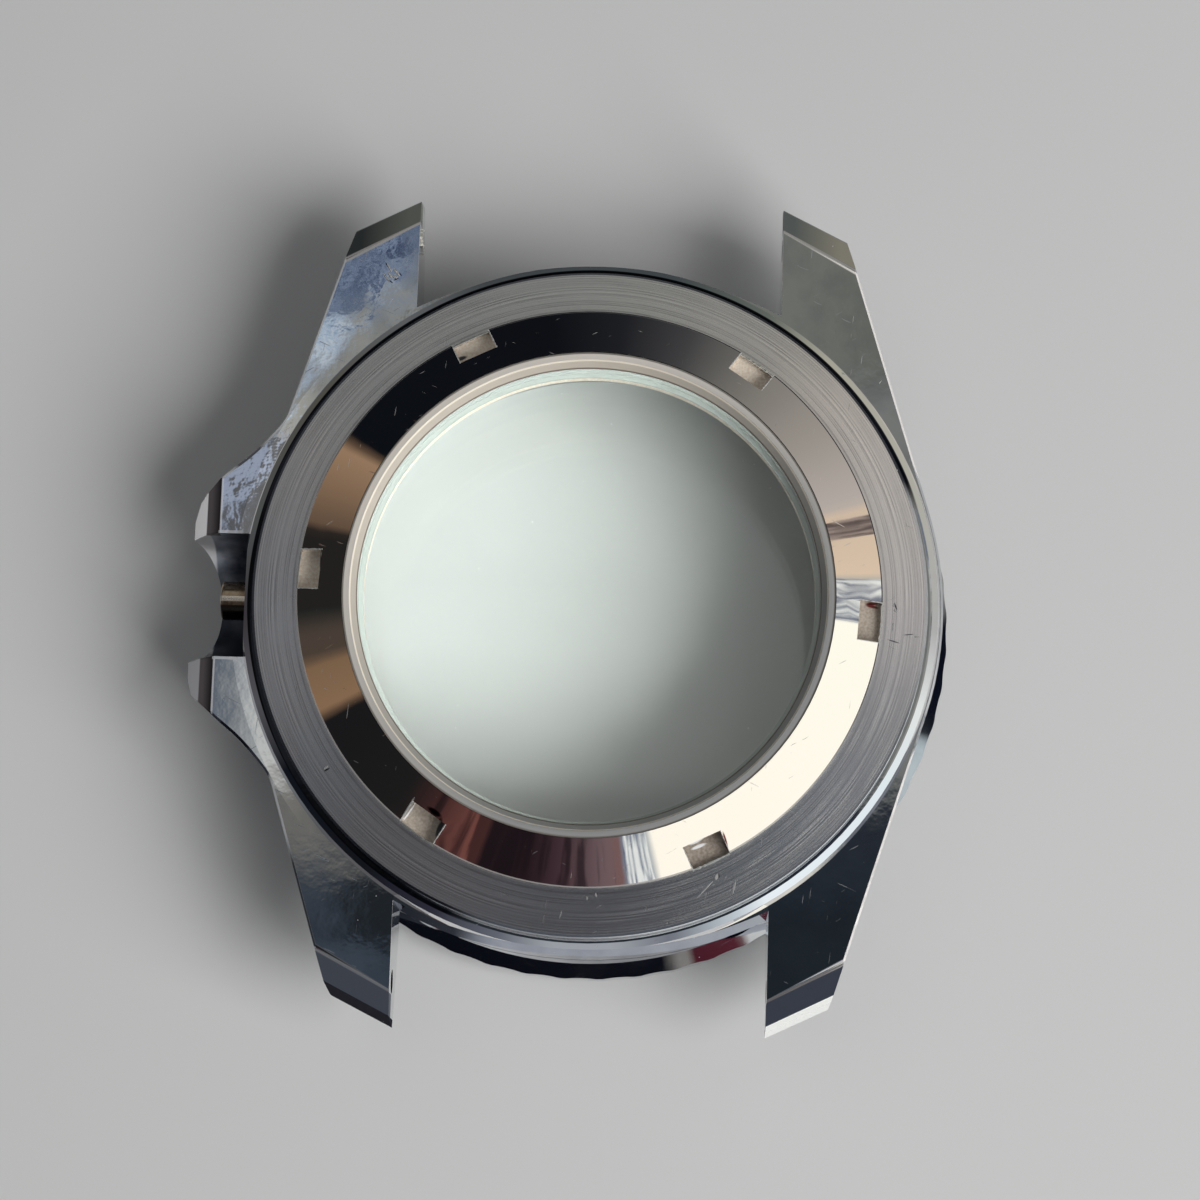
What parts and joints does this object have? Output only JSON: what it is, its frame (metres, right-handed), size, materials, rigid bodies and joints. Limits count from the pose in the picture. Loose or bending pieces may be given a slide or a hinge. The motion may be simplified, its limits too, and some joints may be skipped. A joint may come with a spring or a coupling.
{
  "type": "empty watch case",
  "caption": "Round watch case without movement, dial or crown: lugs, crown guards and tube, screw-in glass back with wrench notches, front crystal and a scalloped turning bezel.",
  "frame": {"origin": "on the case axis, on the outer face of the front crystal, which the case lies on", "axes": "+Z from the dial side to the case back, +Y towards twelve o'clock, -X towards the crown side"},
  "size_m": [0.0415, 0.0456, 0.0122],
  "materials": {
    "polished_steel": "mirror polished stainless steel",
    "tube_steel": "turned steel with a brown tint",
    "front_glass": "flat clear glass",
    "nylon": "nylon",
    "chapter_steel": "satin",
    "bezel_steel": "polished",
    "insert_aluminium": "black anodised",
    "adhesive": "film",
    "cup_steel": "polished",
    "pip_paint": "pale lume under lacquer",
    "spring_steel": "drawn",
    "seal_rubber": "smooth",
    "back_steel": "circular brushed ring and polished cone",
    "back_glass": "flat clear mineral glass",
    "pale_nylon": "nylon"
  },
  "bodies": {
    "case": {"mid_case": "polished_steel", "crown_tube": "tube_steel", "crystal": "front_glass", "crystal_gasket": "nylon", "chapter_ring": "chapter_steel", "bezel_gasket": "seal_rubber", "snap_wire": "spring_steel", "click_coil": "spring_steel"},
    "bezel": {"bezel_ring": "bezel_steel", "bezel_insert": "insert_aluminium", "insert_adhesive": "adhesive", "pip_cup": "cup_steel", "bezel_pip": "pip_paint", "click_ring": "spring_steel"},
    "click": {"click_plunger": "spring_steel"},
    "seal": {"back_seal": "seal_rubber"},
    "back": {"case_back": "back_steel", "back_glass": "back_glass", "back_glass_gasket": "pale_nylon"}
  },
  "joints": [
    {"name": "bezel_turn", "type": "hinge", "parent": "case", "child": "bezel", "pos_m": [0, 0, 0.0018], "axis": [0, 0, 1], "continuous": true},
    {"name": "click_press", "type": "slide", "parent": "case", "child": "click", "axis": [0, 0, 1], "range_m": [0, 0.00025], "stiffness_N_per_m": 400, "springref_m": -0.0004, "deforming": ["click_coil"]},
    {"name": "back_lift", "type": "slide", "parent": "case", "child": "seal", "axis": [0, 0, 1], "range_m": [0, 0.0023]},
    {"name": "back_turn", "type": "hinge", "parent": "seal", "child": "back", "pos_m": [0, 0, 0.009], "axis": [0, 0, 1], "range_deg": [0, 1080]}
  ],
  "couplings": [
    {"joint": "back_lift", "follows": "back_turn", "m_per_rad": 0.00011937}
  ]
}
